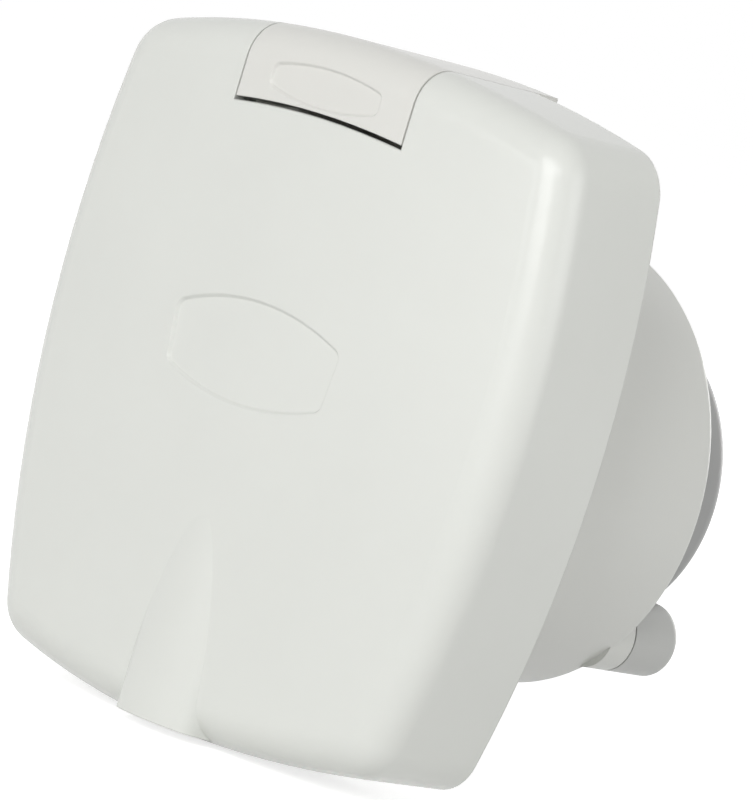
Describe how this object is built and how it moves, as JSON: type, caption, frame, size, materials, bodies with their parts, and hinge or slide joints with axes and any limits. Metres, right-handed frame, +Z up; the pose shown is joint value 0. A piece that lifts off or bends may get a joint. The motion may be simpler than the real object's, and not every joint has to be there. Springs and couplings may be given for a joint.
{
  "type": "shore power inlet",
  "caption": "Panel inlet with a crowned square lid on a hinge tower, a round plug sleeve with contact pins, a round body behind the flange and a cable gland.",
  "frame": {"origin": "on the axis of the round body, in the plane where the flange bears on the panel", "axes": "+Y into the panel along the round body, +Z up as installed, +X to the right seen from the front"},
  "size_m": [0.1194, 0.101, 0.125],
  "materials": {
    "white_plastic": "satin moulded",
    "grey_plastic": "satin moulded",
    "carrier_plastic": "moulded",
    "seal_rubber": "moulded",
    "contact_brass": "turned",
    "steel": "bright"
  },
  "bodies": {
    "fixed_body": {"front_frame": "white_plastic", "round_body": "white_plastic", "closing_spring": "steel", "panel_gasket": "seal_rubber", "plug_sleeve": "white_plastic", "sleeve_seal": "seal_rubber", "sleeve_screws": "steel", "contact_carrier": "carrier_plastic", "carrier_screws": "steel", "earth_pin": "contact_brass", "line_pin": "contact_brass", "neutral_pin": "contact_brass", "earth_terminal": "contact_brass", "line_terminal": "contact_brass", "neutral_terminal": "contact_brass", "terminal_screws": "steel", "rear_cover": "grey_plastic", "rear_cover_seal": "seal_rubber", "rear_cover_screws": "steel", "gland_nut": "grey_plastic", "gland_seal": "seal_rubber", "gland_ring": "grey_plastic"},
    "lid_body": {"lid": "white_plastic", "lid_seal": "seal_rubber", "hinge_pin": "steel"}
  },
  "joints": [
    {"name": "lid_hinge", "type": "hinge", "parent": "fixed_body", "child": "lid_body", "pos_m": [0, -0.019, 0.0568], "axis": [-1, 0, 0], "range_deg": [0, 105], "stiffness_Nm_per_rad": 0.05, "springref_deg": -57.3}
  ]
}
